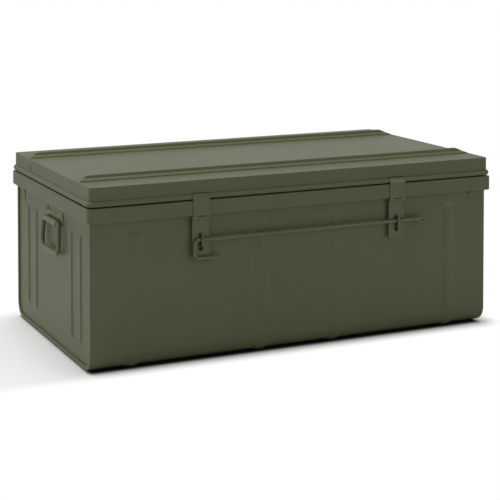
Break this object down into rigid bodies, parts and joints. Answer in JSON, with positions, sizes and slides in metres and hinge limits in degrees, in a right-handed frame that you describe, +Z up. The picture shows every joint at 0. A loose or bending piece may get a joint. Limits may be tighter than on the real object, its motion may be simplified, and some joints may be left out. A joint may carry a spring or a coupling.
{
  "type": "sheet steel trunk",
  "caption": "Low olive enamelled steel trunk with ribbed walls, a wired lid on rear hinges, slotted hasps locked by a sliding rod, drop handles and a lid stay.",
  "frame": {"origin": "centre of the footprint, on the floor", "axes": "+X to the right along the front, +Y to the back, +Z up; the front with the hasps faces -Y"},
  "size_m": [0.7646, 0.4439, 0.31],
  "materials": {
    "olive_panel": "satin olive enamel on pressed sheet steel",
    "olive_fitting": "satin olive enamel on formed steel fittings",
    "bare_steel": "plain steel wire inside the rolled rim"
  },
  "bodies": {
    "case": {"bottom_pan": "olive_panel", "front_panel": "olive_panel", "back_panel": "olive_panel", "left_end_panel": "olive_panel", "right_end_panel": "olive_panel", "rim_band_front": "olive_panel", "rim_band_back": "olive_panel", "rim_rivets": "olive_fitting", "rod_staples": "olive_fitting", "hinge_leaves_case": "olive_fitting", "hinge_pins": "olive_fitting", "hinge_rivets_case": "olive_fitting", "handle_plate_left": "olive_fitting", "handle_plate_right": "olive_fitting", "handle_rivets": "olive_fitting", "stay_stud": "olive_fitting"},
    "lid": {"lid_shell": "olive_panel", "lid_rim_wire": "bare_steel", "hasp_strap_left": "olive_fitting", "hasp_strap_right": "olive_fitting", "hasp_pin_left": "olive_fitting", "hasp_pin_right": "olive_fitting", "hinge_leaves_lid": "olive_fitting", "hinge_rivets_lid": "olive_fitting", "stay_rivet": "olive_fitting"},
    "hasp_left": {"hasp_plate_left": "olive_fitting"},
    "hasp_right": {"hasp_plate_right": "olive_fitting"},
    "closing_rod": {"closing_rod": "olive_fitting"},
    "handle_left": {"bail_left": "olive_fitting"},
    "handle_right": {"bail_right": "olive_fitting"},
    "lid_stay": {"lid_stay": "olive_fitting"}
  },
  "joints": [
    {"name": "lid_hinge", "type": "hinge", "parent": "case", "child": "lid", "pos_m": [0, 0.21855, 0.268], "axis": [-1, 0, 0], "range_deg": [0, 100]},
    {"name": "stay_pivot", "type": "hinge", "parent": "lid", "child": "lid_stay", "pos_m": [-0.3663, 0.118, 0.285], "axis": [-1, 0, 0], "range_deg": [-50, 0]},
    {"name": "left_hasp_hinge", "type": "hinge", "parent": "lid", "child": "hasp_left", "pos_m": [-0.185, -0.21345, 0.2398], "axis": [-1, 0, 0], "range_deg": [0, 150]},
    {"name": "right_hasp_hinge", "type": "hinge", "parent": "lid", "child": "hasp_right", "pos_m": [0.185, -0.21345, 0.2398], "axis": [-1, 0, 0], "range_deg": [0, 150]},
    {"name": "rod_slide", "type": "slide", "parent": "case", "child": "closing_rod", "axis": [-1, 0, 0], "range_m": [0, 0.43]},
    {"name": "left_bail_hinge", "type": "hinge", "parent": "case", "child": "handle_left", "pos_m": [-0.3759, -0.0125, 0.2145], "axis": [0, 1, 0], "range_deg": [0, 155]},
    {"name": "right_bail_hinge", "type": "hinge", "parent": "case", "child": "handle_right", "pos_m": [0.3759, -0.0125, 0.2145], "axis": [0, -1, 0], "range_deg": [0, 155]}
  ],
  "couplings": [
    {"joint": "stay_pivot", "follows": "lid_hinge", "ratio": -0.5}
  ]
}
